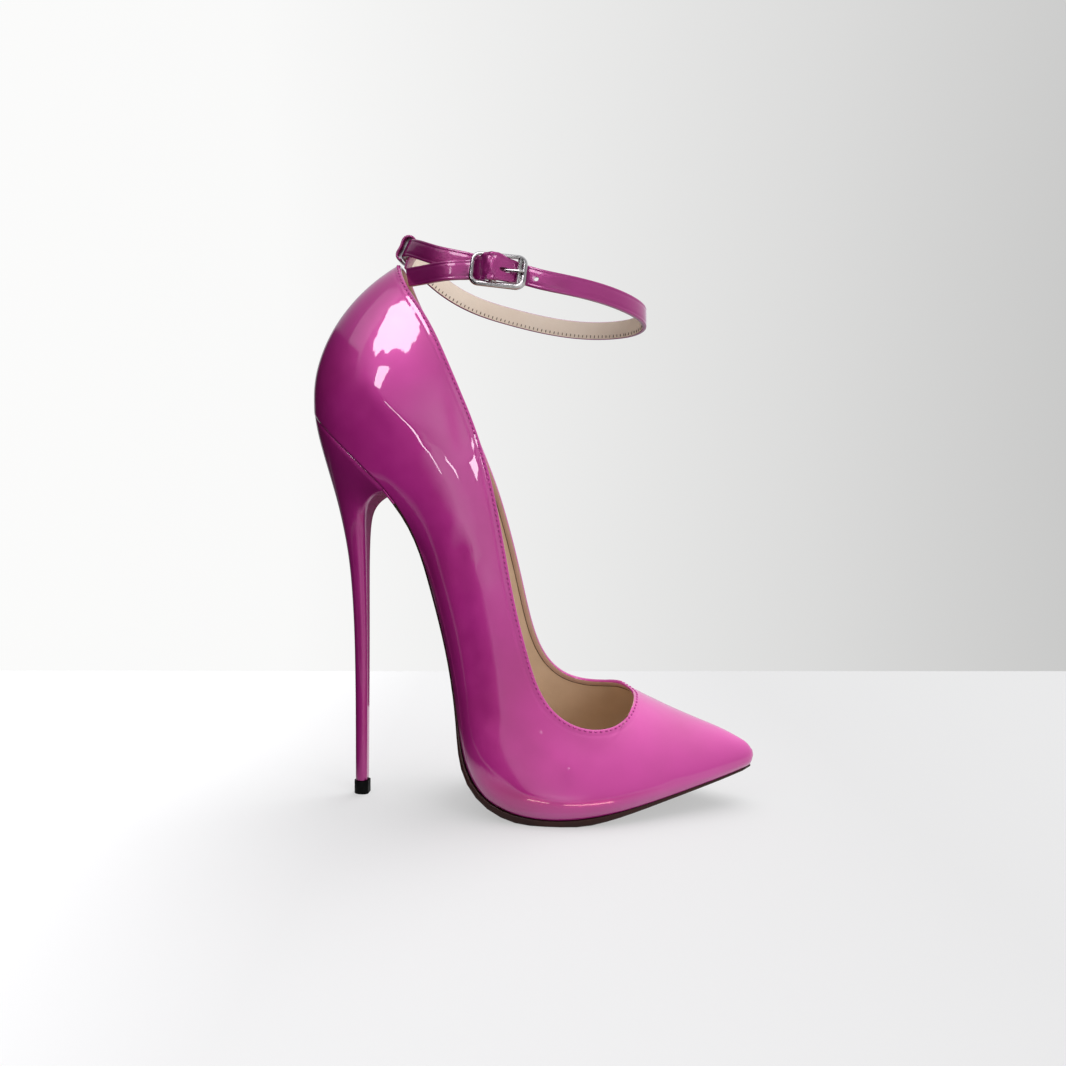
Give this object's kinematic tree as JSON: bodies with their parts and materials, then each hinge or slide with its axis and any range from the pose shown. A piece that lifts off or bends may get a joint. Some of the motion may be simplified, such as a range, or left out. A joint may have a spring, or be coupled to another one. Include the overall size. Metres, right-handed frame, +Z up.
{
  "type": "high heel",
  "caption": "Pointed-toe patent pump on a very tall stiletto heel, with a slim ankle strap that runs through a back loop and fastens in a side buckle.",
  "frame": {"origin": "on the floor, at the flat spot of the outsole under the ball of the foot", "axes": "+X toward the toe tip, +Y toward the inner side of the foot, +Z up"},
  "size_m": [0.1839, 0.0773, 0.2349],
  "materials": {
    "patent": "glossy patent",
    "heel_cover": "glossy patent cover",
    "sole_leather": "smooth, semi-matt",
    "lining": "matt",
    "lift": "hard, satin",
    "buckle_metal": "polished"
  },
  "bodies": {
    "root": {"upper": "patent", "outsole": "sole_leather", "insole": "lining", "heel": "heel_cover", "top_lift": "lift", "back_loop": "patent", "ankle_strap": "patent", "buckle_frame": "buckle_metal", "buckle_prong": "buckle_metal"}
  },
  "joints": []
}
